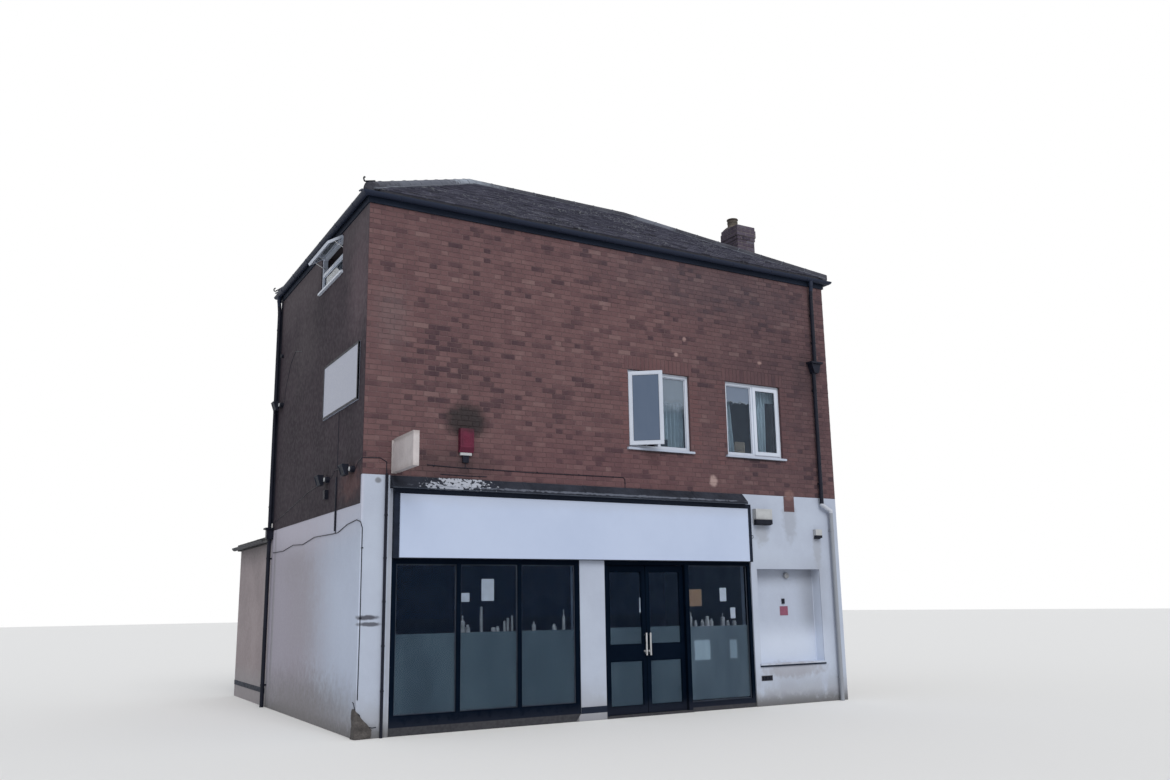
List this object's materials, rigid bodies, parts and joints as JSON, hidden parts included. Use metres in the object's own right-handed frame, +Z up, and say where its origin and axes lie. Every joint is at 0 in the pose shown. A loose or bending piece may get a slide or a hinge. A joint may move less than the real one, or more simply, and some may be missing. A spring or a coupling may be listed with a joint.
{
  "type": "two-storey corner shop building",
  "caption": "Two-storey brick shop at the end of a row, with glazed shopfront, hinged double doors, fascia, hipped tiled roof, chimney and rear store.",
  "frame": {"origin": "centre of the whole's bounding box, at ground level", "axes": "+X along the shopfront to the right as seen from the street, +Y from the street towards the rear store, +Z up"},
  "size_m": [8.8234, 8.81, 9.24],
  "materials": {
    "white_render": "matt masonry paint",
    "brown_render": "matt masonry paint",
    "red_brick": "matt",
    "store_render": "matt",
    "party_render": "matt",
    "concrete": "matt",
    "boards": "matt",
    "black_frame": "satin",
    "clear_glass": "polished",
    "window_pane": "polished",
    "steel": "satin",
    "sign_white": "satin",
    "flashing_grey": "matt",
    "white_frame": "satin",
    "roof_tile": "matt",
    "hip_tile": "matt",
    "chimney_brick": "matt",
    "terracotta": "matt",
    "black_board": "satin",
    "black_plastic": "satin",
    "cream_sign": "satin",
    "red_plastic": "satin",
    "white_plastic": "satin",
    "felt": "matt"
  },
  "bodies": {
    "building": {"side_wall_lower": "white_render", "side_wall_upper": "brown_render", "front_wall": "red_brick", "front_pier_left": "white_render", "front_wall_right": "white_render", "shop_pilaster": "white_render", "shopfront_beam": "concrete", "rear_wall": "red_brick", "party_wall": "party_render", "ground_floor": "concrete", "first_floor": "boards", "shop_plinth": "concrete", "shop_window_frame": "black_frame", "shop_glass": "clear_glass", "entrance_frame": "black_frame", "fascia_box": "black_board", "sign_board": "sign_white", "fascia_flashing": "flashing_grey", "front_window_frames": "white_frame", "open_casement": "white_frame", "rear_window_frames": "white_frame", "side_window_frame": "white_frame", "side_fanlight": "white_frame", "window_glass": "window_pane", "window_sills": "white_render", "roof": "roof_tile", "ridge_tiles": "hip_tile", "chimney_stack": "chimney_brick", "chimney_pot": "terracotta", "eaves_boards": "black_board", "gutters": "black_plastic", "downpipes": "black_plastic", "projecting_sign": "cream_sign", "bell_box": "red_plastic", "alarm_boxes": "white_plastic", "floodlights": "black_plastic", "side_sign": "sign_white", "cables": "black_plastic", "store_walls": "store_render", "store_roof": "felt"},
    "left_door": {"door_left": "black_frame", "door_left_glass": "clear_glass", "door_left_handle": "steel"},
    "right_door": {"door_right": "black_frame", "door_right_glass": "clear_glass", "door_right_handle": "steel"}
  },
  "joints": [
    {"name": "left_door_hinge", "type": "hinge", "parent": "building", "child": "left_door", "pos_m": [-0.39726, -3.42, 0.036], "axis": [0, 0, 1], "range_deg": [0, 90]},
    {"name": "right_door_hinge", "type": "hinge", "parent": "building", "child": "right_door", "pos_m": [1.01674, -3.42, 0.036], "axis": [0, 0, -1], "range_deg": [0, 90]}
  ]
}
